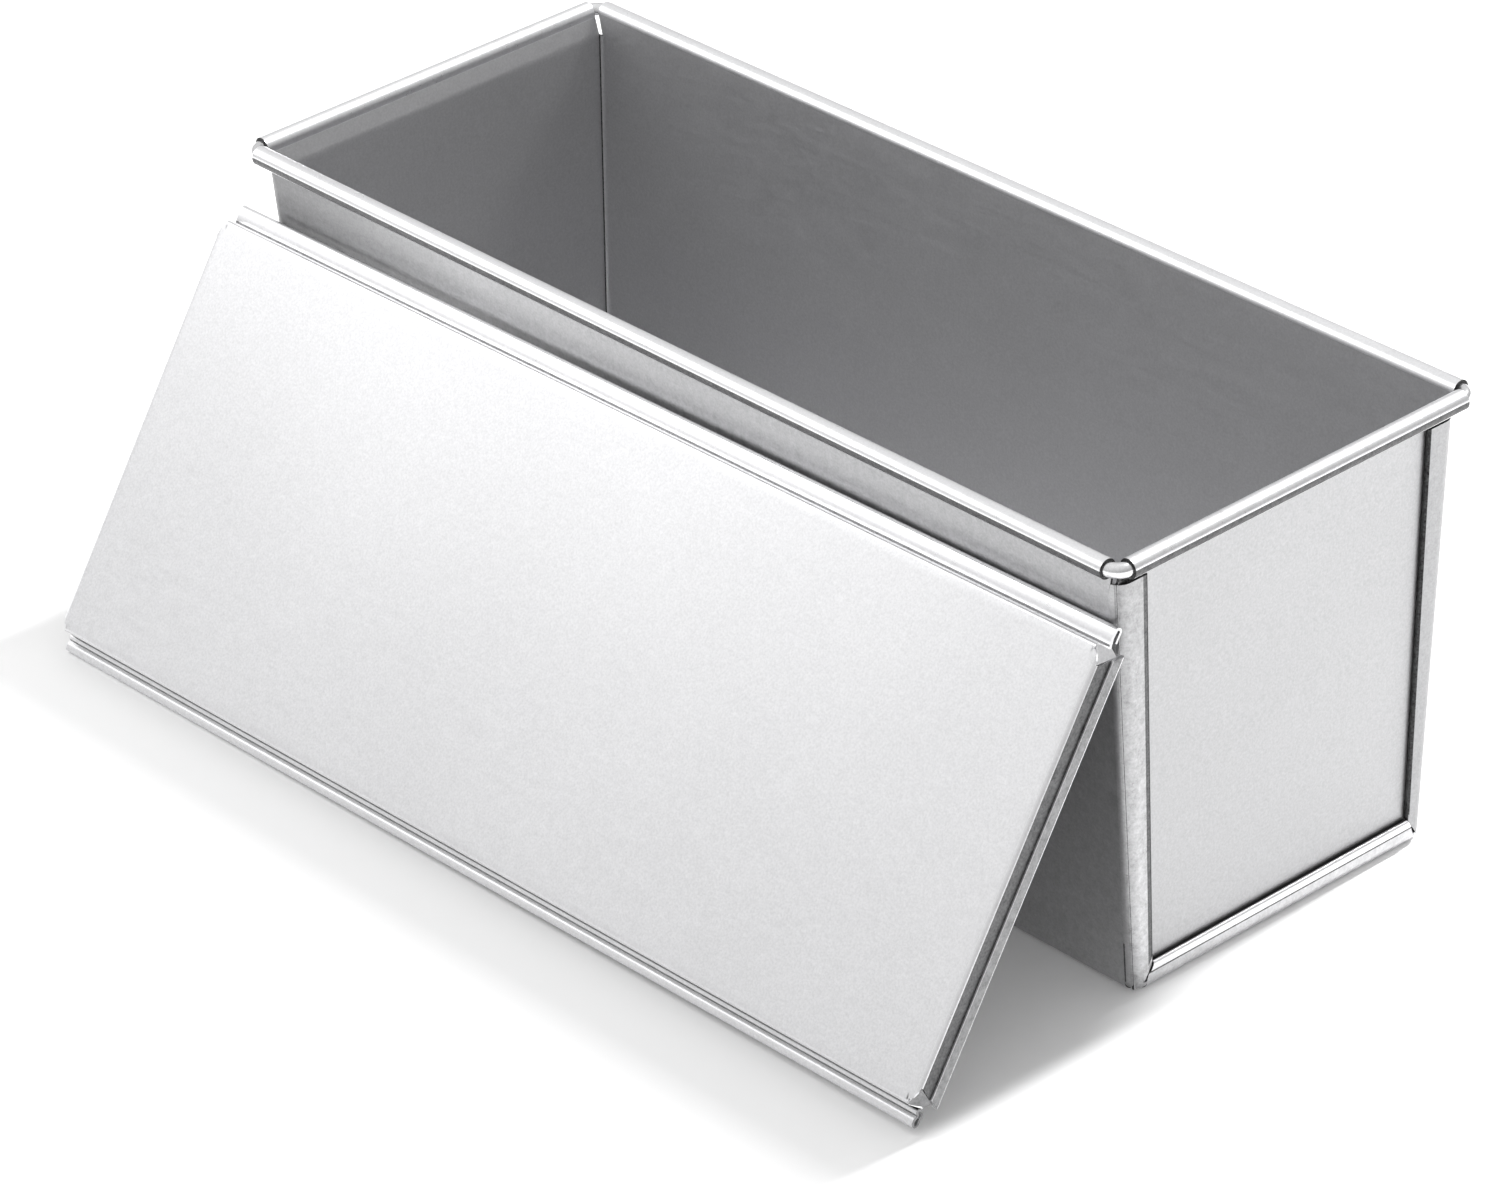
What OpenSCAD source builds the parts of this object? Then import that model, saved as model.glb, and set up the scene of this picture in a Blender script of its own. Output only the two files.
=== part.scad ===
// Pullman loaf pan: a deep tapered sheet metal pan with a wired rim and a loose
// lift-off lid. The lid stands on the table and leans on the front long wall.
// X runs along the pan, Y across it, Z up. The origin is the middle of the pan's base.

/* [Pan] */
// Length between the rim wire's centrelines
bead_len = 330; // [200:1:450]
// Width between the rim wire's centrelines
bead_wid = 124; // [80:1:200]
// Height of the rim wire's centreline above the table
rim_h = 128; // [60:1:200]
// How far each long wall leans in from rim to base
taper_y = 7.8; // [0:0.1:15]
// How far each end wall leans in from rim to base
taper_x = 3.6; // [0:0.1:15]
// Outer radius of the four upright corners
corner_r = 4; // [1.5:0.1:8]
// Outer radius of the fold between wall and base
base_r = 3; // [1.5:0.1:8]

/* [Sheet and rim] */
// Thickness of the steel sheet
sheet_t = 0.7; // [0.4:0.1:1.5]
// Diameter of the rim wire
wire_d = 4; // [2:0.1:8]
// Centreline radius of the wire's bends at the corners
wire_bend_r = 4; // [2.5:0.1:12]
// How far each rolled edge stops short of the corner
curl_gap = 4.2; // [3:0.1:12]
// How far round the wire the sheet is rolled, in degrees
curl_turn = 285; // [200:1:320]

/* [End seams] */
// Width of the upright folded strips beside each end panel, at rim height
seam_top = 10; // [5:0.1:20]
// Width of the same strips at the base
seam_foot = 6; // [4:0.1:20]
// Height of the folded strip along the bottom of each end panel
seam_low = 8; // [4:0.1:20]
// How far below the rim wire's centreline the strips stop
seam_drop = 5.5; // [3:0.1:15]

/* [Lid] */
// Length of the lid's plate between its end folds
lid_len = 337.4; // [200:0.1:460]
// Width of the lid's plate between its long folds
lid_wid = 120.9; // [80:0.1:200]
// Depth of the step from the plate down to the side rolls
lid_step = 3.8; // [2:0.1:12]
// How far each side roll stands out past the plate
roll_w = 5.2; // [3:0.1:12]
// Thickness of each flattened side roll
roll_t = 2.4; // [1.8:0.1:6]
// Length of each side roll
roll_len = 334.6; // [200:0.1:460]
// Depth of the flange folded down at each end
flange_d = 7.7; // [3:0.1:12]
// Height of the hem folded back outside the flange's free edge
hem_h = 2.8; // [1.5:0.1:6]
// How far the flange stops short of the plate's corners, each side
flange_inset = 4; // [0:0.1:15]
// How much wider the flange is at its free edge, each side
flange_flare = 3.4; // [0:0.1:6]
// Lean of the lid from upright, in degrees
lid_lean = 34; // [10:0.1:60]
// How far the lid is tipped up at its +X end, in degrees
lid_tilt = 0.45; // [0:0.05:2]
// Position of the lid's middle along the pan
lid_x = -3; // [-60:0.5:60]
// Clear gap between the lid and whatever it leans on
lean_gap = 0.3; // [0.3:0.05:2]

/* [Hidden] */
$fn = 64;
e = 0.01;
fit = 0.05;
wire_r = wire_d / 2;
curl_in = wire_r + fit;
curl_out = curl_in + sheet_t;
ay = atan(taper_y / rim_h);
ax = atan(taper_x / rim_h);
hx = bead_len / 2;
hy = bead_wid / 2;
seam_t = 2 * sheet_t;
aw = atan((taper_y + seam_foot - seam_top) / rim_h);
// outer faces of wall and strip at wire height
wall_y = hy - curl_in / cos(ay);
wall_x = hx - curl_in / cos(ax);
roll_r = roll_t / 2;
roll_y = lid_wid / 2 + roll_w - roll_r;
roll_z = lid_step + roll_r;
lid_hl = lid_len / 2;
lid_hw = lid_wid / 2;
foot_z = 0.2;

// A ring cut down to the angles from a0 to a1
module arc_band(r_out, r_in, a0, a1) {
  steps = 8;
  difference() {
    intersection() {
      circle(r_out);
      polygon(concat([[0, 0]], [for (i = [0:steps])
        2 * r_out * [cos(a0 + (a1 - a0) * i / steps), sin(a0 + (a1 - a0) * i / steps)]]));
    }
    circle(r_in);
  }
}

// Section of one wall with its rolled top, placed at the wire's centre and facing +X
module wall_section(tilt, drop) {
  rotate(-tilt) {
    translate([-curl_out, -drop])
      square([sheet_t, drop]);
    arc_band(curl_out, curl_in, 180 - curl_turn, 180);
  }
}

// Filled outline across the pan; half is the outer face's distance at wire height
module tub_outline(half, tilt, off, top) {
  r = base_r - off;
  slope = tan(tilt);
  shift = off / cos(tilt);
  foot = half - shift - (rim_h - off) * slope;
  rise = top - rim_h;
  c = foot - r * (1 - sin(tilt)) / cos(tilt);
  difference() {
    polygon([[-foot, off], [foot, off], [half - shift + rise * slope, top],
      [-half + shift - rise * slope, top]]);
    for (s = [-1, 1])
      scale([s, 1])
        difference() {
          translate([c, off - 1])
            square([20, 1 + r * (1 - sin(tilt))]);
          translate([c, off + r])
            circle(r);
        }
  }
}

// Solid inside the pan's outer faces, moved inwards by off
module tub(off, top) {
  r = corner_r - off;
  bx = wall_x - taper_x - off;
  by = wall_y - taper_y - off;
  run = norm([taper_x, taper_y, rim_h]);
  difference() {
    intersection() {
      rotate([90, 0, 90])
        translate([0, 0, -hx])
          linear_extrude(2 * hx)
            tub_outline(wall_y, ay, off, top);
      rotate([90, 0, 0])
        translate([0, 0, -hy])
          linear_extrude(2 * hy)
            tub_outline(wall_x, ax, off, top);
    }
    for (sx = [0, 1], sy = [0, 1])
      mirror([sx, 0, 0])
        mirror([0, sy, 0])
          translate([bx - r, by - r, 0])
            rotate([0, acos(rim_h / run), atan2(taper_y, taper_x)])
              rotate([0, 0, -atan2(taper_y, taper_x)])
                difference() {
                  translate([0, 0, -20])
                    cube([20, 20, run + 60]);
                  translate([0, 0, -21])
                    cylinder(r = r, h = run + 62);
                }
  }
}

// Slab parallel to the end panels, from depth d0 to depth d1 behind the strips' face
module end_slab(d0, d1, z0, z1) {
  rotate([90, 0, 0])
    translate([0, 0, -hy])
      linear_extrude(2 * hy)
        polygon([for (p = [[d0, z0], [d1, z0], [d1, z1], [d0, z1]])
          [wall_x - p[0] / cos(ax) - (rim_h - p[1]) * tan(ax), p[1]]]);
}

// Half the width of the end panel that shows between the strips at height z
function window_half(z) = wall_y - seam_top - (rim_h - z) * tan(aw);

// Shape of the end panel that shows inside the strips, as a prism along X
module end_window() {
  rotate([90, 0, 90])
    translate([0, 0, hx - 30])
      linear_extrude(60)
        polygon([for (p = [[-1, seam_low], [1, seam_low], [1, rim_h + 9], [-1, rim_h + 9]])
          [p[0] * window_half(p[1]), p[1]]]);
}

// Folded strip frame on the +X end: two sheets thick
module seam_frame() {
  difference() {
    intersection() {
      tub(0, rim_h - seam_drop);
      end_slab(-1, seam_t, -1, rim_h);
    }
    end_window();
  }
}

// One folded sheet: base, both long walls, their rolled rims and the end strips
module pan_trough() {
  color("silver") {
    difference() {
      tub(0, rim_h - seam_drop);
      tub(sheet_t, rim_h + 5);
      for (s = [0, 1])
        mirror([s, 0, 0])
          end_window();
    }
    for (s = [0, 1])
      mirror([s, 0, 0])
        seam_frame();
    for (s = [0, 1])
      mirror([0, s, 0])
        translate([-hx + curl_gap, hy, rim_h])
          rotate([90, 0, 90])
            linear_extrude(2 * (hx - curl_gap))
              wall_section(ay, seam_drop + 0.5);
  }
}

// One end sheet: flat panel behind the strips, set out at the top and rolled round the wire
module end_panel() {
  d0 = seam_t + fit;
  d1 = d0 + sheet_t;
  intersection() {
    end_slab(d0, d1, -1, rim_h - 9.5);
    tub(sheet_t + fit, rim_h);
  }
  translate([hx, -hy + curl_gap, rim_h])
    rotate([90, 0, 0])
      mirror([0, 0, 1])
        linear_extrude(2 * (hy - curl_gap)) {
          wall_section(ax, 0.8);
          rotate(-ax)
            polygon([[-curl_in - d1, -12], [-curl_in - d0, -12], [-curl_in - d0, -5.2],
              [-curl_in, -0.7], [-curl_out, -0.4], [-curl_in - d1, -5]]);
        }
}

module end_panel_left() {
  color("gainsboro")
    mirror([1, 0, 0])
      end_panel();
}

module end_panel_right() {
  color("gainsboro")
    end_panel();
}

// One rod bent to a rectangle inside the rolled rims
module rim_wire() {
  color("gray")
    translate([0, 0, rim_h]) {
      for (s = [-1, 1]) {
        translate([-hx + wire_bend_r, s * hy, 0])
          rotate([0, 90, 0])
            cylinder(r = wire_r, h = 2 * (hx - wire_bend_r));
        translate([s * hx, hy - wire_bend_r, 0])
          rotate([90, 0, 0])
            cylinder(r = wire_r, h = 2 * (hy - wire_bend_r));
      }
      for (sx = [0, 1], sy = [0, 1])
        mirror([sx, 0, 0])
          mirror([0, sy, 0])
            translate([hx - wire_bend_r, hy - wire_bend_r, 0])
              rotate_extrude(angle = 90)
                translate([wire_bend_r, 0])
                  circle(wire_r);
    }
}

// Outline of a flattened roll of radius r, from the step out to its rounded edge
module roll_outline(r) {
  y0 = lid_hw + r - sheet_t * (1 - (roll_r - r) / sheet_t);
  translate([y0, -roll_z])
    circle(r);
  translate([roll_y, -roll_z])
    circle(r);
  translate([y0, -roll_z - r])
    square([roll_y - y0, 2 * r]);
}

// Half of the lid's section: x across the lid, y out of its face
module lid_half_section() {
  translate([0, -sheet_t])
    square([lid_hw, sheet_t]);
  translate([lid_hw - sheet_t, -roll_z])
    square([sheet_t, roll_z]);
  difference() {
    roll_outline(roll_r);
    roll_outline(roll_r - sheet_t);
  }
}

// Sheet standing across the lid's end at x, from depth d0 to d1, wider as it goes down
module flange_sheet(x, d0, d1) {
  w = lid_hw - flange_inset;
  k = flange_flare / flange_d;
  translate([x, 0, 0])
    rotate([90, 0, 90])
      linear_extrude(sheet_t)
        polygon([[-w - k * d0, -d0], [w + k * d0, -d0], [w + k * d1, -d1], [-w - k * d1, -d1]]);
}

// The lid lying flat: face up at z = 0, length along X, everything else below
module lid_flat() {
  for (s = [0, 1])
    mirror([0, s, 0])
      rotate([90, 0, 90])
        translate([0, 0, -roll_len / 2])
          linear_extrude(roll_len)
            lid_half_section();
  for (s = [0, 1])
    mirror([s, 0, 0]) {
      translate([0, -lid_hw + flange_inset, -sheet_t])
        cube([lid_hl, lid_wid - 2 * flange_inset, sheet_t]);
      flange_sheet(lid_hl - sheet_t, 0, flange_d);
      flange_sheet(lid_hl, flange_d - hem_h, flange_d);
      translate([lid_hl, 0, -flange_d])
        rotate([90, 0, 0])
          cylinder(r = sheet_t, h = lid_wid - 2 * flange_inset + 2 * flange_flare, center = true);
    }
}

// Lid leaning on the pan's front wall with its lower roll on the table
module lid() {
  reach = roll_y * 2;
  raise = roll_len * sin(lid_tilt);
  run = reach + raise;
  top_z = foot_z + roll_r + run * cos(lid_lean);
  wall_at = wall_y - (rim_h - top_z) * tan(ay);
  foot_y = -wall_at - (roll_r + lean_gap) / cos(ay) - run * sin(lid_lean);
  color("whitesmoke")
    translate([lid_x, foot_y, foot_z + roll_r])
      rotate([90 - lid_lean, 0, 0])
        translate([0, raise / 2, roll_z])
          rotate([0, 0, lid_tilt])
            translate([0, roll_y, 0])
              lid_flat();
}

pan_trough();
end_panel_left();
end_panel_right();
rim_wire();
lid();
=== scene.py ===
import bpy
import bmesh
import math
from mathutils import Matrix, Vector


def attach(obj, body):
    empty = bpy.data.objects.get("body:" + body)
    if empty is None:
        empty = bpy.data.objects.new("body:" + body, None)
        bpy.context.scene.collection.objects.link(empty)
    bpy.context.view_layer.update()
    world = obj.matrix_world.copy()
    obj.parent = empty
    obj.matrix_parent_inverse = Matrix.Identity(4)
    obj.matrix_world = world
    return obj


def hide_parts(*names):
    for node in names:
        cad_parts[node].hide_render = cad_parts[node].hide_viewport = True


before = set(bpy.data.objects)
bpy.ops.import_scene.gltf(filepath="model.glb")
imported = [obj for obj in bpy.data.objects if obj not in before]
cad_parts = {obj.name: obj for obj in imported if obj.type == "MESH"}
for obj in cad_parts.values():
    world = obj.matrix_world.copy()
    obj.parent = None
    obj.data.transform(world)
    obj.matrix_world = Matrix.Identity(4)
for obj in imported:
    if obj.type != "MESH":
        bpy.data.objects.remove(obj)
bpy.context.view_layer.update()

MM = 0.001
rad = math.radians

# ---------------------------------------------------------------- dimensions, mm (as in the CAD)
# the rim wire's centre line, and how far the walls lean out over that height
BEAD_LEN, BEAD_WID, RIM_H = 330.0, 124.0, 128.0
TAPER_Y, TAPER_X = 7.8, 3.6
SHEET, WIRE_R = 0.7, 2.0
CURL_IN = WIRE_R + 0.05
CURL_OUT = CURL_IN + SHEET
CURL_MID = (CURL_IN + CURL_OUT) / 2
CURL_GAP, CURL_TURN, CURL_STEPS = 3.5, 285.0, 44
WIRE_BEND = 4.0
CORNER_R, BASE_R = 4.0, 3.0
# end strips: width at the top and at the foot, height of the bottom one, distance below the rim
SEAM_TOP, SEAM_FOOT, SEAM_LOW, SEAM_DROP = 10.0, 6.0, 8.0, 5.5
# the slanted joint between an upright strip and the bottom one
MITRE_Y, MITRE_RISE, MITRE_RUN, MITRE_GAP = 1.5, 1.7, 0.5875, 0.34
# the bottom strip's flat-faced lip, and the dark crease under it
LIP_DEPTH, LIP_OUT, LIP_R = 2.6, 0.1, 0.5
CREASE_LOW, CREASE_TOP = SEAM_LOW - 3.15, SEAM_LOW - 2.15
# the upright strips' folded edges: half the gap inside, their reach back, their dark band's width
HEM_GAP, HEM_BACK, SEAM_EDGE = 0.06, 1.6, 1.1
STRIP_TOP = RIM_H - SEAM_DROP - 0.5
# gap between two sheets that lie on each other, the panels' lower edge, their bend, its radii
PANEL_GAP, PANEL_FOOT, PANEL_JOG, PANEL_RADII = 0.06, 1.2, 6.0, [2.2, 8.0]
# how far the long walls reach into the corner bends, and the panels stay off the walls' sheet
BEND_OVERLAP, PANEL_CLEAR = 0.14, 0.08
AY, AX = math.atan(TAPER_Y / RIM_H), math.atan(TAPER_X / RIM_H)
HX, HY = BEAD_LEN / 2, BEAD_WID / 2
WALL_Y = HY - CURL_IN / math.cos(AY)
WALL_X = HX - CURL_IN / math.cos(AX)

LID_LEN, LID_WID, LID_STEP = 337.4, 120.9, 3.8
ROLL_W, ROLL_T, ROLL_LEN = 5.2, 2.4, 334.6
ROLL_R = ROLL_T / 2
ROLL_Y = LID_WID / 2 + ROLL_W - ROLL_R
ROLL_Z = LID_STEP + ROLL_R
FLANGE_D, HEM_H, FLANGE_INSET, FLARE, CLIP_LEN = 7.7, 2.8, 5.2, 5.0, 2.4
# the lid's end bends start this far in; the pieces that close its corners are this thick
LID_BEND, CORNER_T = 3.2, 0.5
# the pose in the photograph: angles in degrees
LID_LEAN, LID_TILT, LID_X = 34.0, 0.45, -3.0
LEAN_GAP, FOOT_Z = 0.3, 0.2


# ---------------------------------------------------------------- mesh helpers
def wall_x(z, off=0.0):
    """x of the end strips' outer face at height z, moved inwards by off."""
    return WALL_X - off / math.cos(AX) - (RIM_H - z) * math.tan(AX)


def wall_y(z, off=0.0):
    """y of the long walls' outer face at height z, moved inwards by off."""
    return WALL_Y - off / math.cos(AY) - (RIM_H - z) * math.tan(AY)


def seam_w(z):
    """Width of the upright end strips at height z."""
    return SEAM_FOOT + (SEAM_TOP - SEAM_FOOT) * z / RIM_H


def arc(cx, cy, r, a0, a1, n):
    """Points on an arc, angles in degrees."""
    return [(cx + r * math.cos(rad(a0 + (a1 - a0) * i / n)),
             cy + r * math.sin(rad(a0 + (a1 - a0) * i / n))) for i in range(n + 1)]


def fillet(points, radii, n=7):
    """A polyline with its inner corners rounded; radii has one value per inner corner."""
    straight = rad(89.5)
    out = [points[0]]
    for i in range(1, len(points) - 1):
        p0, p1, p2 = (Vector(points[j]) for j in (i - 1, i, i + 1))
        a, b = (p0 - p1).normalized(), (p2 - p1).normalized()
        r = radii[i - 1]
        half = a.angle(b) / 2
        if r <= 0 or half > straight:
            out.append(tuple(p1))
            continue
        d = r / math.tan(half)
        c = p1 + (a + b).normalized() * (r / math.sin(half))
        s, e = p1 + a * d - c, p1 + b * d - c
        turn = math.atan2(s.x * e.y - s.y * e.x, s.dot(e))
        for k in range(n + 1):
            t = turn * k / n
            out.append((c.x + s.x * math.cos(t) - s.y * math.sin(t),
                        c.y + s.x * math.sin(t) + s.y * math.cos(t)))
    out.append(points[-1])
    return out


def densify(points, step):
    """Splits the long straight runs of a polyline."""
    out = [points[0]]
    for p in points[1:]:
        q = out[-1]
        n = max(1, int(math.dist(p, q) / step))
        out += [(q[0] + (p[0] - q[0]) * k / n, q[1] + (p[1] - q[1]) * k / n) for k in range(1, n + 1)]
    return out


def thicken(path, t=SHEET):
    """Closed outline round a centreline, with slightly rounded cut edges."""
    edge_out, edge_in = 0.16, 0.62
    pts = [Vector(p) for p in path]
    normals = []
    for i, p in enumerate(pts):
        d = (pts[min(i + 1, len(pts) - 1)] - pts[max(i - 1, 0)]).normalized()
        normals.append(Vector((-d.y, d.x)))
    h = t / 2
    left = [p + n * h for p, n in zip(pts, normals)]
    right = [p - n * h for p, n in zip(pts, normals)]
    d0 = (pts[0] - pts[1]).normalized()
    d1 = (pts[-1] - pts[-2]).normalized()
    end = [pts[-1] + d1 * edge_out + normals[-1] * h * k for k in (edge_in, -edge_in)]
    start = [pts[0] + d0 * edge_out + normals[0] * h * k for k in (-edge_in, edge_in)]
    return [(v.x, v.y) for v in left + end + right[::-1] + start]


class Sheet:
    """Collects swept strips of sheet into one mesh, built in mm."""

    def __init__(self):
        self.bm = bmesh.new()
        self.cut = set()

    def sweep(self, rings, closed=False):
        """rings: lists of 3D points, all the same length, each a closed outline. An open sweep
        gets a cap at both ends."""
        bm = self.bm
        vs = [[bm.verts.new(Vector(p) * MM) for p in ring] for ring in rings]
        n = len(rings[0])
        pairs = list(zip(vs, vs[1:])) + ([(vs[-1], vs[0])] if closed else [])
        for a, b in pairs:
            for i in range(n):
                j = (i + 1) % n
                bm.faces.new((a[i], a[j], b[j], b[i]))
        if not closed:
            # an outline from thicken() is two parallel rows and four edge points, so its cap is
            # a row of quads
            h = (n - 4) // 2
            for ring, first in ((vs[0], True), (vs[-1], False)):
                left, right = ring[:h], ring[h + 2:h + 2 + h][::-1]
                quads = [(left[i], left[i + 1], right[i + 1], right[i]) for i in range(h - 1)]
                quads.append((left[-1], ring[h], ring[h + 1], right[-1]))
                quads.append((right[0], ring[2 * h + 2], ring[2 * h + 3], left[0]))
                for q in quads:
                    self.cut.add(bm.faces.new(q if first else q[::-1]))

    def patch(self, quad, t):
        """A flat four-cornered piece, thickened by t along its normal."""
        p = [Vector(q) for q in quad]
        n = (p[1] - p[0]).cross(p[2] - p[0]).normalized() * t
        a = [self.bm.verts.new(q * MM) for q in p]
        b = [self.bm.verts.new((q + n) * MM) for q in p]
        self.bm.faces.new(a)
        self.bm.faces.new(b[::-1])
        for i in range(4):
            j = (i + 1) % 4
            self.bm.faces.new((a[i], a[j], b[j], b[i]))

    # cut ends get the crevices' painted shade unless cut says otherwise
    def object(self, name, zone, matrix=None, angle=32, cut=lambda c: CREVICE):
        """Makes the object. zone(ax, ay, z, n, c) picks a face's material slot from its centre c
        and its normal, both mirrored into the +X +Y quarter; cut(c) does so for the caps."""
        me = bpy.data.meshes.new(name)
        bmesh.ops.recalc_face_normals(self.bm, faces=self.bm.faces)
        for f in self.bm.faces:
            c = f.calc_center_median() / MM
            side = Vector((math.copysign(1, c.x), math.copysign(1, c.y), 1))
            n = f.normal * side
            f.material_index = zone(abs(c.x), abs(c.y), c.z, n, c)
            if f in self.cut:
                f.material_index = cut(c)
        if matrix is not None:
            self.bm.transform(matrix)
        self.bm.to_mesh(me)
        self.bm.free()
        me.polygons.foreach_set("use_smooth", [True] * len(me.polygons))
        me.set_sharp_from_angle(angle=rad(angle))
        ob = bpy.data.objects.new(name, me)
        bpy.context.scene.collection.objects.link(ob)
        return ob


def steps(a, b, n):
    """n + 1 even steps from a to b."""
    return [a + (b - a) * i / n for i in range(n + 1)]


def mirrored(rings, sx, sy):
    """The rings mirrored to another quarter; sx and sy are 1 or -1."""
    return [[(p[0] * sx, p[1] * sy, p[2]) for p in ring] for ring in rings]


def curl_path(tilt):
    """Centreline of a rolled edge about the wire's centre, from lip to the wall's tangent."""
    a = math.degrees(tilt)
    return arc(0, 0, CURL_MID, 180 - a - CURL_TURN, 180 - a, CURL_STEPS)


# ---------------------------------------------------------------- zones of looks
# material slots, in the order in which every sheet gets its materials; not all need the last ones.
# Most slots paint light into the colour: a highlight on folds and rolled edges, shade in crevices,
# under rolled edges and along creases, wear with painted shade on the strips, painted shade on the
# lid's flanges, painted light on the lower strips, painted shade on the far strips, and the inner
# faces' own tone set for the interior's shade
FACE, FOLD, INNER, CREVICE, SHADE, WEAR_AND_SHADE, LOWER, SMOOTH_SHADED = range(8)
# the rolled edge: reach below, inside and short of the wire's centre, and its shaded angles
ROLL_BELOW, ROLL_INSIDE, ROLL_SHORT = 3.0, 3.4, 2.0
SHADE_FROM, SHADE_TO = -34, 7
# the pan's ends: depth of the corner bends and of the strips, the strips' dark edge of painted shade,
# height of the painted shade line at the pinch
BEND_REACH, STRIP_REACH = 4.2, 2.4
EDGE_HIDDEN, EDGE_DARK = 0.42, 1.4
PINCH_TOP, PINCH_FACING = 14, 0.985
# shade on the walls and on the end panels just under the rolled edges
WALL_SHADE_LOW, WALL_SHADE_TOP, END_SHADE_LOW = RIM_H - 4.4, RIM_H - 2.4, RIM_H - 4.2
# the underside of the bottom strip's lip is above this height
STRIP_INNER = 3.4


def rim_zone(out, up, nout, nup):
    """Zone on a rolled edge; out and up are measured from the wire's centre. Painted light: shade
    inside the curl and on a band of its underside, a highlight on the rest.
    """
    r = math.hypot(out, up)
    if r < CURL_IN + 0.1 and nout * out + nup * up < 0:
        return CREVICE
    if SHADE_FROM < math.degrees(math.atan2(up, out)) < SHADE_TO:
        return SHADE
    return FOLD


def strip_zone(ay, z, n, c):
    """Zone on the strips round a short end, upright and along the bottom. Painted light: shade in the
    crevices, under the lip, on the near strips' edges and on the far strips, a highlight on the lip,
    lighter tone on the lower strips; the rest is wear with painted shade.
    """
    if n.x < -0.3 or n.y < -0.55:
        return CREVICE
    if z < SEAM_LOW + 0.3 and ay < wall_y(z) - MITRE_Y - MITRE_RUN * z:
        if (n.z > 0.3 and n.x < -0.1) or (n.z < -0.3 and z > STRIP_INNER):
            return CREVICE
        if z < CREASE_TOP:
            return SHADE if z > CREASE_LOW else LOWER
        return FOLD
    edge = wall_y(z) - seam_w(z)
    upright = z > SEAM_LOW + 1
    if upright and ay < edge + EDGE_HIDDEN:
        return CREVICE
    if c.y > 0:
        return SMOOTH_SHADED
    if upright and ay < edge + EDGE_DARK:
        return SHADE
    return LOWER if z < BASE_R and n.z < -0.15 else WEAR_AND_SHADE


def pan_zone(ax, ay, z, n, c):
    """Zone on the trough sheet. Painted light: a shaded line at the corners' pinch, shade under the
    rim on the walls, wear with painted shade on the lower corners.
    """
    if z > RIM_H - ROLL_BELOW and ay > HY - ROLL_INSIDE and ax < HX - ROLL_SHORT:
        return rim_zone(ay - HY, z - RIM_H, n.y, n.z)
    if ax > wall_x(z) - BEND_REACH:
        if z < BASE_R and ay > wall_y(z) - BEND_REACH:
            return WEAR_AND_SHADE
        if n.y > PINCH_FACING and z < PINCH_TOP:
            return SHADE
    if ax > wall_x(z) - STRIP_REACH:
        return strip_zone(ay, z, n, c)
    if n.x < -0.5 or n.y < -0.5 or (n.z > 0.5 and z < BASE_R):
        return INNER
    if n.y > 0.5 and WALL_SHADE_LOW < z < WALL_SHADE_TOP:
        return SHADE
    return FACE


def end_zone(ax, ay, z, n, c):
    """Zone on an end panel, with painted shade just under its rolled edge."""
    if z > RIM_H - ROLL_BELOW and ax > HX - ROLL_BELOW:
        return rim_zone(ax - HX, z - RIM_H, n.x, n.z)
    if n.x < -0.4:
        return INNER
    return SHADE if z > END_SHADE_LOW else FACE


# ---------------------------------------------------------------- pan trough
def add_walls(s):
    """The floor and the two long walls with their rolled edges, as one swept section."""
    top = [(HY + u, RIM_H + v) for u, v in curl_path(AY)]
    corner = (wall_y(SHEET / 2, SHEET / 2), SHEET / 2)
    half = fillet([top[-1], corner, (0, SHEET / 2)], [BASE_R - SHEET / 2], 9)
    half = top[:-1] + densify(half, 9)
    path = half + [(-y, z) for y, z in half[::-1][1:]]

    def reach(z):
        if z > RIM_H - SEAM_DROP + 0.01:
            return HX - CURL_GAP
        return wall_x(max(z, 0)) - CORNER_R + BEND_OVERLAP
    outline = thicken(path)
    s.sweep([[(t * reach(z), y, z) for y, z in outline] for t in steps(-1, 1, 60)])


def add_upright_strips(s):
    """The four corner bends, each with its upright strip and the strip's folded-back edge."""
    # local frame: u is negative inwards from the strip's face, v negative away from the long wall
    hem_r = SHEET / 2 + HEM_GAP
    flat = -SEAM_FOOT + hem_r
    bend = arc(-CORNER_R, -CORNER_R, CORNER_R - SHEET / 2, 90, 0, 10)
    hem = arc(-SHEET / 2 - hem_r, flat, hem_r, 0, -180, 8)
    back = [(-SHEET / 2 - 2 * hem_r, flat + HEM_BACK)]
    outline = thicken(bend + [(-SHEET / 2, flat + SEAM_EDGE)] + hem + back)
    flat_w = SEAM_FOOT - CORNER_R - hem_r - SEAM_EDGE
    rings = []
    for t in steps(0, 1, 60):
        ring = []
        for u, v in outline:
            grow = min(max((-v - CORNER_R) / flat_w, 0), 1)
            low = max((-v - MITRE_Y) * MITRE_RISE + MITRE_GAP, BASE_R)
            z = low + (STRIP_TOP - low) * t
            ring.append((wall_x(z) + u, wall_y(z) + v - grow * (seam_w(z) - SEAM_FOOT), z))
        rings.append(ring)
    for sx in (1, -1):
        for sy in (1, -1):
            s.sweep(mirrored(rings, sx, sy))


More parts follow.
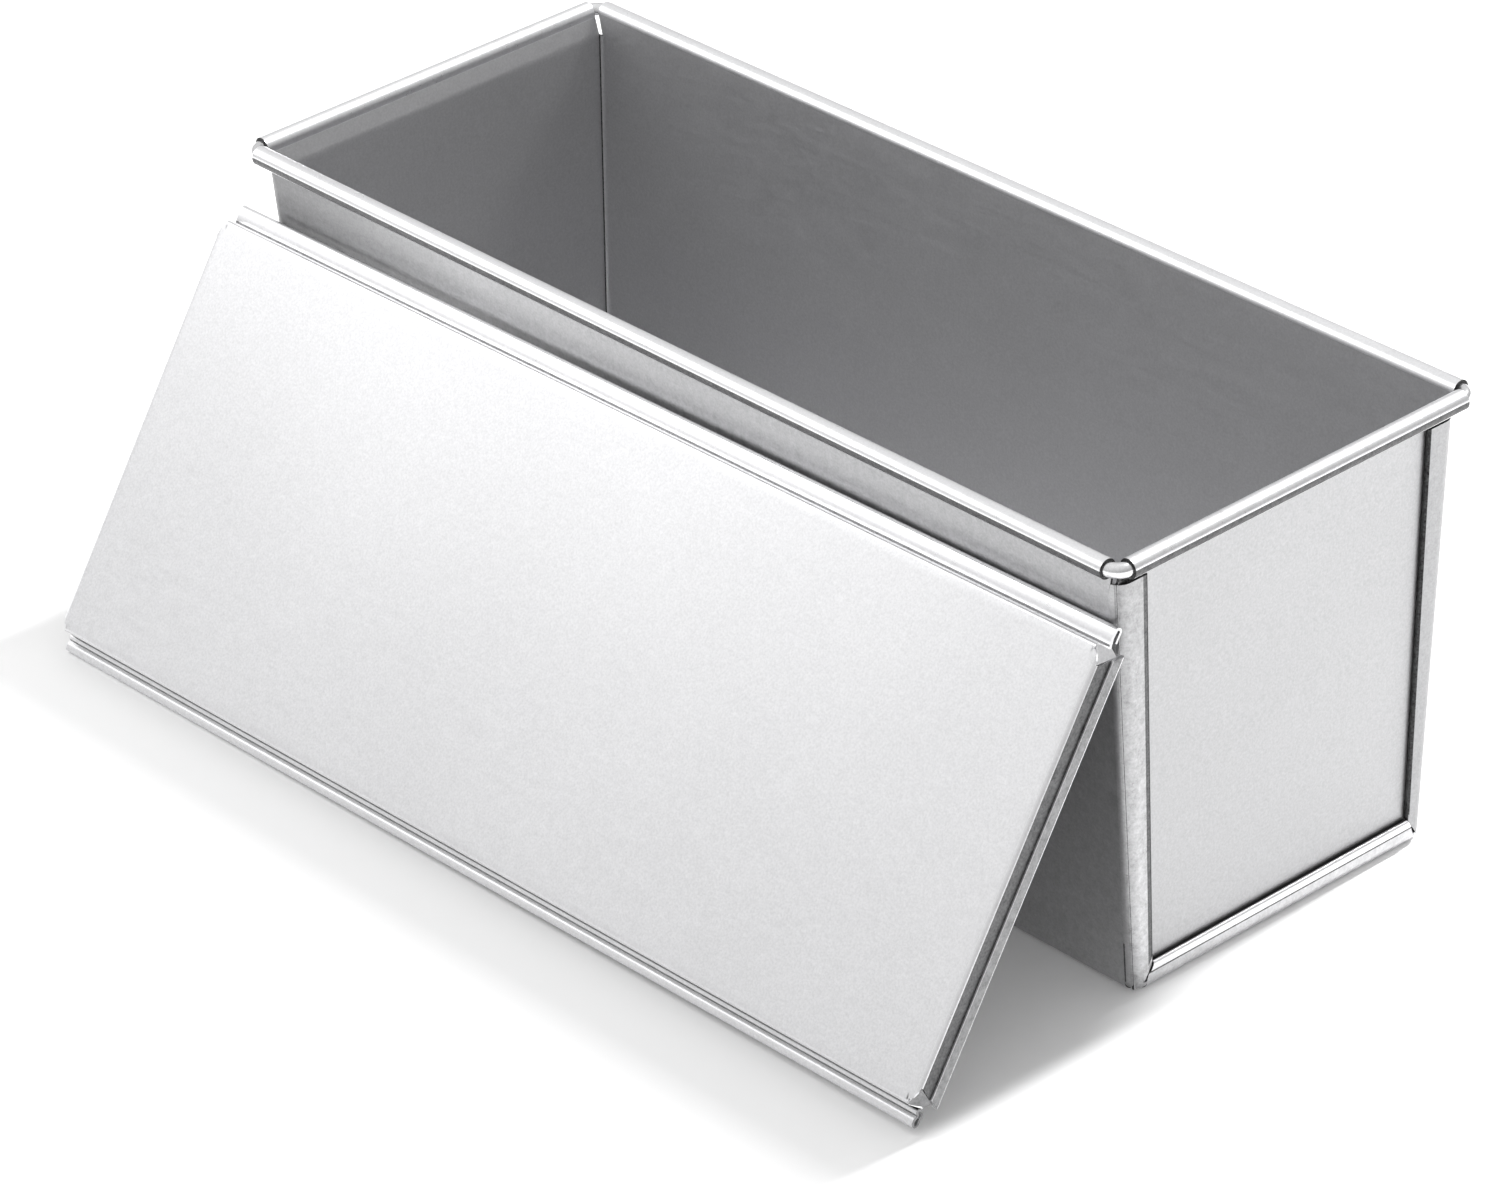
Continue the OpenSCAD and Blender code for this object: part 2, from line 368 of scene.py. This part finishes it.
def add_bottom_strips(s):
    """The strip along the bottom of each short end; its upper edge stands out as a lip."""
    flat = SEAM_LOW - LIP_DEPTH
    lip_top = SEAM_LOW - LIP_R - SHEET / 2
    bend = [(-CORNER_R - 0.6, SHEET / 2)] + arc(-BASE_R, BASE_R, BASE_R - SHEET / 2, -90, 0, 9)
    lip = [(LIP_OUT, flat + 0.45), (LIP_OUT, lip_top)]
    lip += arc(LIP_OUT - LIP_R, lip_top, LIP_R, 0, 180, 10)[1:]
    outline = thicken(bend + [(-SHEET / 2, flat - 0.5), (-SHEET / 2, flat)] + lip)
    rings = []
    for t in steps(-1, 1, 40):
        ring = []
        for u, v in outline:
            z = max(v, 0)
            short = MITRE_Y + MITRE_RUN * z + MITRE_GAP if z > BASE_R else CORNER_R
            ring.append((wall_x(z) + u, t * (wall_y(z) - short), v))
        rings.append(ring)
    for sx in (1, -1):
        s.sweep(mirrored(rings, sx, 1))


def add_lower_corners(s, n=8):
    """The pan's four rounded lower corners."""
    for sx in (1, -1):
        for sy in (1, -1):
            grid = []
            for i in range(n + 1):
                down = rad(90 * i / n)
                z = BASE_R - BASE_R * math.sin(down)
                row = []
                for j in range(n + 1):
                    turn = rad(90 * j / n)
                    x = wall_x(z) - CORNER_R + CORNER_R * math.cos(down) * math.cos(turn)
                    y = wall_y(z) - CORNER_R + CORNER_R * math.cos(down) * math.sin(turn)
                    row.append(s.bm.verts.new(Vector((sx * x, sy * y, z)) * MM))
                grid.append(row)
            for i in range(n):
                for j in range(n):
                    q = (grid[i][j], grid[i][j + 1], grid[i + 1][j + 1], grid[i + 1][j])
                    s.bm.faces.new(q if sx * sy > 0 else q[::-1])


def make_trough():
    s = Sheet()
    add_walls(s)
    add_upright_strips(s)
    add_bottom_strips(s)
    add_lower_corners(s)
    return s.object("trough_sheet", pan_zone)


# ---------------------------------------------------------------- end panels
def make_end(sign, name):
    """An end panel inside the strips, rolled over the wire at the top."""
    s = Sheet()
    depth = 2 * SHEET + PANEL_GAP + SHEET / 2
    curl = [(HX + u, RIM_H + v) for u, v in curl_path(AX)]
    neck = (curl[-1][0] - 0.1, curl[-1][1] - 1.0)
    jog = (wall_x(RIM_H - PANEL_JOG, depth), RIM_H - PANEL_JOG)
    low = (wall_x(PANEL_FOOT, depth), PANEL_FOOT)
    path = curl[:-1] + fillet([curl[-1], neck, jog, low], PANEL_RADII, 10)
    path = path[:len(curl)] + densify(path[len(curl):], 6)

    def reach(z):
        if z > RIM_H - SEAM_DROP - 0.2:
            return HY - CURL_GAP
        return wall_y(max(z, 0), SHEET + PANEL_CLEAR)
    outline = thicken(path)
    s.sweep([[(sign * x, t * reach(z), z) for x, z in outline] for t in steps(-1, 1, 36)])
    return s.object(name, end_zone)


# ---------------------------------------------------------------- rim wire
def make_wire(bend_steps=12, round_steps=28):
    """The closed wire inside the rolled edges: a round section swept along a rounded rectangle."""
    s = Sheet()
    rings = []
    for cx, cy, start in ((1, 1, 0), (-1, 1, 90), (-1, -1, 180), (1, -1, 270)):
        px, py = cx * (HX - WIRE_BEND), cy * (HY - WIRE_BEND)
        for k in range(bend_steps + 1):
            b = rad(start + 90 * k / bend_steps)
            ring = []
            for i in range(round_steps):
                c = 2 * math.pi * i / round_steps
                out = WIRE_BEND + WIRE_R * math.cos(c)
                ring.append((px + out * math.cos(b), py + out * math.sin(b),
                             RIM_H + WIRE_R * math.sin(c)))
            rings.append(ring)
    s.sweep(rings, closed=True)
    return s.object("wire_rod", lambda ax, ay, z, n, c: FACE, angle=60)


# ---------------------------------------------------------------- lid
LID_HL, LID_HW = LID_LEN / 2, LID_WID / 2
CLIP_X = LID_HL - CLIP_LEN
STEP_Z = -LID_STEP - SHEET / 2
FLANGE_HW = LID_HW - FLANGE_INSET
FLARE_SLOPE = (FLARE - SHEET) / FLANGE_D
HEM_TOP = -FLANGE_D + HEM_H
# below TOP_SKIN the lid's section is step or roll; the clip reaches its full length at CLIP_LOW
TOP_SKIN, CLIP_TOP, CLIP_LOW = -SHEET - 0.35, -0.5, -4.5
# the piece that closes a corner: how far down it reaches along the flange and at the side roll
CORNER_LOW, CORNER_FLARE, CORNER_ROLL = -6.7, 6.2, -5.0
# spans across the long sides, out from the panel's edge, of the painted shade lines along the lower
# side's two creases and the upper side's one; each starts below its height
CREASE_IN, CREASE_OUT, CREASE_UP = (-0.8, 0.62), (1.75, 2.3), (-0.1, 0.35)
LOWER_CREASES, UPPER_CREASE = -1.4, -3.7


def lid_matrix():
    """From the lid's own frame, panel up, to where it leans on the pan in the photograph."""
    lean, tilt = rad(LID_LEAN), rad(LID_TILT)
    drop = ROLL_LEN * math.sin(tilt)
    run = 2 * ROLL_Y + drop
    top_z = FOOT_Z + ROLL_R + run * math.cos(lean)
    wall_at = WALL_Y - (RIM_H - top_z) * math.tan(AY)
    foot_y = -wall_at - (ROLL_R + LEAN_GAP) / math.cos(AY) - run * math.sin(lean)

    def move(x, y, z):
        return Matrix.Translation(Vector((x, y, z)) * MM)
    return (move(LID_X, foot_y, FOOT_Z + ROLL_R) @ Matrix.Rotation(rad(90) - lean, 4, "X")
            @ move(0, drop / 2, ROLL_Z) @ Matrix.Rotation(tilt, 4, "Z") @ move(0, ROLL_Y, 0))


def add_panel(s):
    """The panel, the steps down along its two long sides and the side rolls."""
    h, hw, top = SHEET / 2, LID_HW, STEP_Z
    r = ROLL_R - h
    flat = [(0, -h), (hw - 3.0, -h), (hw - h, -h)]
    roll = arc(ROLL_Y, -ROLL_Z, r, 90, -90, 14) + [(hw + 1.3, -ROLL_Z - r)]
    # the lower side has a ridge between two creases, the upper one is smooth
    valley = [(hw - h, top - 0.75), (hw + 0.45, top - 0.75)]
    ridge = arc(hw + 1.15, top - 0.45, 0.55, 150, 20, 6)
    ridge += [(hw + 2.05, top - 0.66), (hw + 2.35, top - 0.55)]
    lower = fillet(flat + valley + [ridge[0]], [0, 0.8, 0.35, 0.2], 6)
    lower += ridge[1:] + arc(ROLL_Y - 0.55, -ROLL_Z, r, 122, 95, 4) + roll
    crown = [(hw - h, top - 0.35), (hw + 0.7, top - 0.1), (hw + 2.2, top + 0.12)]
    upper = fillet(flat + crown, [0, 0.55, 0.3, 1.5], 7) + roll
    lower = densify(lower[:2], 8)[:-1] + lower[1:]
    upper = densify(upper[:2], 8)[:-1] + upper[1:]

    def reach(y, z):
        # the clipped corners: the side rolls end further out than the steps they hang from
        if z < TOP_SKIN or abs(y) > hw - 1.3:
            down = min(max(CLIP_TOP - z, 0) / (CLIP_TOP - CLIP_LOW), 1)
            return CLIP_X + (ROLL_LEN / 2 - CLIP_X) * down
        return LID_HL - LID_BEND
    outline = thicken([(-y, z) for y, z in lower[::-1]] + upper[1:])
    s.sweep([[(t * reach(y, z), y, z) for y, z in outline] for t in steps(-1, 1, 60)])


def add_flanges(s):
    """The two end flanges, folded back outside at the bottom, and the closed corners."""
    h, hl = SHEET / 2, LID_HL
    hem_r = h + 0.03
    path = fillet([(hl - LID_BEND, -h), (hl - h, -h), (hl - h, -FLANGE_D)], [1.05], 8)
    path += arc(hl - h + hem_r, -FLANGE_D, hem_r, 180, 360, 8)[1:]
    path.append((hl - h + 2 * hem_r, HEM_TOP))
    outline = thicken(densify(path, 1.4))
    # slanted pieces that close the clipped corners down to the side rolls
    quad = [(CLIP_X + 0.05, LID_HW - 0.15, -0.28), (hl - 0.2, FLANGE_HW + 0.1, -0.28),
            (hl - h, FLANGE_HW + FLARE_SLOPE * CORNER_FLARE, CORNER_LOW),
            (ROLL_LEN / 2 - 0.1, LID_HW - 0.1, CORNER_ROLL)]

    def width(x, z):
        if z > -SHEET - 0.3 and x < hl - 0.4:
            return min(LID_HW - 0.9, LID_HW - (x - CLIP_X) * FLANGE_INSET / CLIP_LEN)
        return FLANGE_HW + FLARE_SLOPE * max(CLIP_TOP - z, 0)
    for sign in (1, -1):
        s.sweep([[(sign * x, t * width(x, z), z) for x, z in outline] for t in steps(-1, 1, 60)])
        for side in (1, -1):
            s.patch([(sign * x, side * y, z) for x, y, z in quad], -CORNER_T * sign * side)


def within(v, span):
    return span[0] < v < span[1]


def lid_zone(ax, ay, z, n, c):
    """Zone on the lid, in its own frame; the lower side in the photograph has c.y < 0. Painted light:
    a highlight on the fold edges and the upper side's roll, painted shade on the flanges, along the
    creases and on the lower corner pieces.
    """
    hl, hw = LID_HL, LID_HW
    if ax > hl - 1.5 and z > -0.9 and n.x + n.z > 0:
        return FOLD
    if n.x > 0.2 and n.y > 0.2 and ax < hl - 0.4:
        return FACE if c.y > 0 else WEAR_AND_SHADE
    if ax > hl - 0.8 and ay < hw - 0.5:
        if z < -FLANGE_D or n.z > 0.5:
            return FOLD
        if n.x < 0.25:
            return INNER
        if HEM_TOP - 0.1 < z < HEM_TOP + 0.4:
            return CREVICE
        return SHADE if z > HEM_TOP else WEAR_AND_SHADE
    if n.z > -0.3 and z < -0.9:
        if c.y < 0 and z < LOWER_CREASES and within(ay - hw, CREASE_IN):
            return SHADE
        if c.y < 0 and z < LOWER_CREASES and within(ay - hw, CREASE_OUT):
            return WEAR_AND_SHADE
        if c.y > 0 and z < UPPER_CREASE and within(ay - hw, CREASE_UP):
            return WEAR_AND_SHADE
    if z < -0.6 and ay < hw and n.z < -0.5:
        return INNER
    return FACE if ay < hw - 0.8 or c.y < 0 else FOLD


def lid_cut(c):
    """Zone on the lid's cut ends: the side rolls' ends, with painted shade on the lower ones, then
    the rest with a painted highlight.
    """
    if c.z < -3 and abs(c.y) > LID_HW:
        return WEAR_AND_SHADE if c.y < 0 else FACE
    return FOLD


def make_lid():
    s = Sheet()
    add_panel(s)
    add_flanges(s)
    return s.object("lid_sheet", lid_zone, matrix=lid_matrix(), cut=lid_cut)


# ---------------------------------------------------------------- pieces on their bodies
trough = make_trough()
end_l = make_end(-1, "end_sheet_left")
end_r = make_end(1, "end_sheet_right")
wire = make_wire()
lid = make_lid()
for ob, body, node, slot in ((trough, "pan", "pan_trough", "pan_sheet"),
                             (end_l, "pan", "end_panel_left", "pan_sheet"),
                             (end_r, "pan", "end_panel_right", "pan_sheet"),
                             (wire, "pan", "rim_wire", "rim_wire"),
                             (lid, "lid", "lid", "lid_sheet")):
    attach(ob, body)
    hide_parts(node)


# ---------------------------------------------------------------- materials
class Nodes:
    """A new material, with short calls that add its nodes."""

    def __init__(self, name):
        self.mat = bpy.data.materials.new(name)
        self.mat.use_nodes = True
        self.nt = self.mat.node_tree
        self.nt.nodes.clear()
        self.out = self.nt.nodes.new("ShaderNodeOutputMaterial")
        texture = self.nt.nodes.new("ShaderNodeTexCoord")
        self.coord, self.normal = texture.outputs["Object"], texture.outputs["Normal"]

    def link(self, a, b):
        self.nt.links.new(a, b)

    def node(self, kind, **inputs):
        n = self.nt.nodes.new(kind)
        for key, v in inputs.items():
            if hasattr(v, "is_output"):
                self.link(v, n.inputs[key])
            else:
                n.inputs[key].default_value = v
        return n

    def noise(self, scale, detail, rough, vec=None):
        n = self.node("ShaderNodeTexNoise", Scale=scale, Detail=detail, Roughness=rough)
        self.link(vec or self.coord, n.inputs["Vector"])
        return n.outputs["Fac"]

    def stretch(self, sx, sy, sz):
        n = self.node("ShaderNodeMapping", Scale=(sx, sy, sz))
        self.link(self.coord, n.inputs["Vector"])
        return n.outputs["Vector"]

    def axes(self, vec):
        n = self.nt.nodes.new("ShaderNodeSeparateXYZ")
        self.link(vec, n.inputs[0])
        return n.outputs

    def ramp(self, fac, lo, hi, a, b):
        n = self.node("ShaderNodeMapRange")
        self.link(fac, n.inputs["Value"])
        for key, v in (("From Min", lo), ("From Max", hi), ("To Min", a), ("To Max", b)):
            n.inputs[key].default_value = v
        return n.outputs["Result"]

    def math(self, op, a, b):
        n = self.nt.nodes.new("ShaderNodeMath")
        n.operation = op
        for i, v in enumerate((a, b)):
            if hasattr(v, "is_output"):
                self.link(v, n.inputs[i])
            else:
                n.inputs[i].default_value = v
        return n.outputs[0]


# noise scales per metre, and the height of the two bumps in m
SPANGLE, FINE, CLOUD, SCUFF, WAVE = 420, 1500, 9, 70, 7
GRAIN_BUMP, WAVE_BUMP = 0.00004, 0.0012
CLOUD_DEPTH = 0.015
BLUE_TINT = 1.014
# where the painted shade towards -X and towards +Z begins and ends, in m, and the one along Y
ENDS_X, TOP_Z, SIDE_Y = (-0.165, -0.075), (0.02, 0.12), (0.25, 0.95)


def sheet_steel(name, base, rough, mottle=0.012, grain=0.055, ends=1.0, top=1.0, side=1.0):
    """Satin coated steel: mottle and grain are the strength of the blotches and of the fine grain;
    ends, top and side paint shade into it towards -X, towards +Z and where it faces along Y."""
    m = Nodes(name)
    spangle = m.noise(SPANGLE, 5, 0.68)
    fine = m.noise(FINE, 3, 0.6)
    cloud = m.noise(CLOUD, 3, 0.5)
    scuff = m.noise(SCUFF, 5, 0.6, vec=m.stretch(1, 9, 9))
    blotch = m.ramp(spangle, 0.3, 0.7, -mottle, mottle)
    value = m.math("ADD", blotch, m.ramp(fine, 0.25, 0.75, -grain, grain))
    value = m.math("ADD", value, m.ramp(cloud, 0.3, 0.7, -CLOUD_DEPTH, CLOUD_DEPTH))
    value = m.math("ADD", value, base)
    place = m.axes(m.coord)
    value = m.math("MULTIPLY", value, m.ramp(place["X"], *ENDS_X, ends, 1.0))
    value = m.math("MULTIPLY", value, m.ramp(place["Z"], *TOP_Z, 1.0, top))
    if side < 1:
        facing = m.math("ABSOLUTE", m.axes(m.normal)["Y"], 0.0)
        value = m.math("MULTIPLY", value, m.ramp(facing, *SIDE_Y, 1.0, side))
    rgb = m.nt.nodes.new("ShaderNodeCombineColor")
    m.link(value, rgb.inputs["Red"])
    m.link(value, rgb.inputs["Green"])
    m.link(m.math("MULTIPLY", value, BLUE_TINT), rgb.inputs["Blue"])
    gloss = m.math("ADD", blotch, m.ramp(scuff, 0.3, 0.75, -0.03, 0.04))
    gloss = m.math("ADD", gloss, rough)
    grit = m.node("ShaderNodeBump", Strength=0.25, Distance=GRAIN_BUMP, Height=fine)
    wavy = m.node("ShaderNodeBump", Strength=0.5, Distance=WAVE_BUMP, Height=m.noise(WAVE, 1, 0.4))
    m.link(grit.outputs["Normal"], wavy.inputs["Normal"])
    p = m.node("ShaderNodeBsdfPrincipled", Metallic=1.0, Roughness=gloss)
    m.link(rgb.outputs["Color"], p.inputs["Base Color"])
    m.link(wavy.outputs["Normal"], p.inputs["Normal"])
    m.link(p.outputs["BSDF"], m.out.inputs["Surface"])
    return m.mat


# the outer walls, with painted shade towards the -X end
WALL = sheet_steel("aluminised_pan_sheet", 0.47, 0.40, 0.05, 0.06, ends=0.44)
# painted highlight: a near-white copy of the steel for folds, rolled edges and lips
FOLDS = sheet_steel("painted_highlight_folds", 0.90, 0.30)
PANEL = sheet_steel("aluminised_end_sheet", 0.48, 0.42)
# the inner faces' own copy of the steel, toned for the interior's shade
INSIDE = sheet_steel("inner_sheet_toned_for_shade", 0.60, 0.45)
# painted shade: a near-black copy for crevices, gaps and cut ends
DARK = sheet_steel("painted_shade_creases", 0.07, 0.6)
# painted shade under rolled edges, along creases and on the lid's flanges
UNDER = sheet_steel("painted_shade_underside", 0.13, 0.42, 0.03)
# the strips: scuffed wear, with painted shade towards the top and where they face along Y
STRIP = sheet_steel("worn_strips_painted_shade", 0.55, 0.36, 0.15, 0.08, top=0.74, side=0.72)
# painted light: a lighter copy for the lower strips and the pan's lower corners
FOOT = sheet_steel("painted_light_lower_strip", 0.64, 0.36, 0.10, 0.06)
# painted shade: a darker, smoother copy for the far strips
PLAIN = sheet_steel("smooth_strips_painted_shade", 0.40, 0.42, 0.03)
LID = sheet_steel("aluminised_lid_sheet", 0.765, 0.44, 0.018, 0.07)
# painted shade: a dark copy for the lid's flange hems, crease lines and lower corner pieces
FLANGE = sheet_steel("painted_shade_lid_flanges", 0.25, 0.38, 0.08)
WIRE = sheet_steel("bright_wire", 0.82, 0.22)
# FOLD, INNER, CREVICE and SHADE are the same on every sheet: the painted highlight, the inner faces'
# tone and the two painted shades
SHARED = (FOLDS, INSIDE, DARK, UNDER)
for ob, mats in ((trough, (WALL, *SHARED, STRIP, FOOT, PLAIN)),
                 (end_l, (PANEL, *SHARED)),
                 (end_r, (PANEL, *SHARED)),
                 (wire, (WIRE,)),
                 (lid, (LID, *SHARED, FLANGE))):
    for mat in mats:
        ob.data.materials.append(mat)

# ---------------------------------------------------------------- floor, light, camera
FLOOR_HALF = 6
scene = bpy.context.scene
me = bpy.data.meshes.new("floor")
me.from_pydata([(x * FLOOR_HALF, y * FLOOR_HALF, 0) for x, y in ((-1, -1), (1, -1), (1, 1), (-1, 1))],
               [], [(0, 1, 2, 3)])
floor = bpy.data.objects.new("floor", me)
scene.collection.objects.link(floor)
fm = Nodes("pale_floor")
fp = fm.node("ShaderNodeBsdfPrincipled", Roughness=0.7)
fp.inputs["Base Color"].default_value = (0.95, 0.95, 0.95, 1)
fp.inputs["Emission Color"].default_value = (1, 1, 1, 1)
fp.inputs["Emission Strength"].default_value = 0.06
fp.inputs["Specular IOR Level"].default_value = 0.2
fm.link(fp.outputs["BSDF"], fm.out.inputs["Surface"])
me.materials.append(fm.mat)

# the studio is brighter overhead and slightly darker towards +X
WORLD_LEVEL, WORLD_SLOPE = 0.48, (-0.12, -0.04, 0.40)
world = bpy.data.worlds.new("studio")
scene.world = world
world.use_nodes = True
wt = world.node_tree
sky = wt.nodes.new("ShaderNodeTexCoord")
tilt = wt.nodes.new("ShaderNodeVectorMath")
tilt.operation = "DOT_PRODUCT"
tilt.inputs[1].default_value = WORLD_SLOPE
wt.links.new(sky.outputs["Generated"], tilt.inputs[0])
level = wt.nodes.new("ShaderNodeMath")
level.operation = "ADD"
level.inputs[1].default_value = WORLD_LEVEL
wt.links.new(tilt.outputs["Value"], level.inputs[0])
wt.nodes["Background"].inputs["Color"].default_value = (1, 1, 1, 1)
wt.links.new(level.outputs[0], wt.nodes["Background"].inputs["Strength"])


def area(name, loc, target, size_x, size_y, power):
    """A rectangular light at loc, aimed at target; sizes in m, power in W."""
    d = bpy.data.lights.new(name, "AREA")
    d.shape = "RECTANGLE"
    d.size, d.size_y = size_x, size_y
    d.energy = power
    ob = bpy.data.objects.new(name, d)
    ob.location = loc
    ob.rotation_euler = (Vector(target) - Vector(loc)).to_track_quat("-Z", "Y").to_euler()
    scene.collection.objects.link(ob)


area("key", (-0.50, -0.38, 0.52), (-0.14, -0.08, 0.12), 0.40, 0.40, 1.2)
area("back", (0.165, 1.48, 1.84), (0, 0, 0), 0.10, 0.58, 64)

# the camera looks at AIM from DISTANCE m; its angles are azimuth, elevation and roll in degrees
AIM = Vector((-0.01808, -0.019275, 0.029194))
DISTANCE = 1.854865
AZIMUTH, ELEVATION, ROLL = 48.963, 30.041, -2.57
cam = bpy.data.cameras.new("camera")
cam.sensor_width = 36
cam.lens = 167.11
cam.clip_end = 50
camera = bpy.data.objects.new("camera", cam)
scene.collection.objects.link(camera)
az, el, roll = rad(AZIMUTH), rad(ELEVATION), rad(ROLL)
back = Vector((math.sin(az) * math.cos(el), -math.cos(az) * math.cos(el), math.sin(el)))
level_x = (-back).cross(Vector((0, 0, 1))).normalized()
level_y = level_x.cross(-back)
cam_x = level_x * math.cos(roll) + level_y * math.sin(roll)
cam_y = level_y * math.cos(roll) - level_x * math.sin(roll)
pos = AIM + back * DISTANCE
camera.matrix_world = Matrix(((cam_x.x, cam_y.x, back.x, pos.x),
                              (cam_x.y, cam_y.y, back.y, pos.y),
                              (cam_x.z, cam_y.z, back.z, pos.z),
                              (0, 0, 0, 1)))
scene.camera = camera
scene.view_settings.view_transform = "Standard"
scene.view_settings.look = "None"
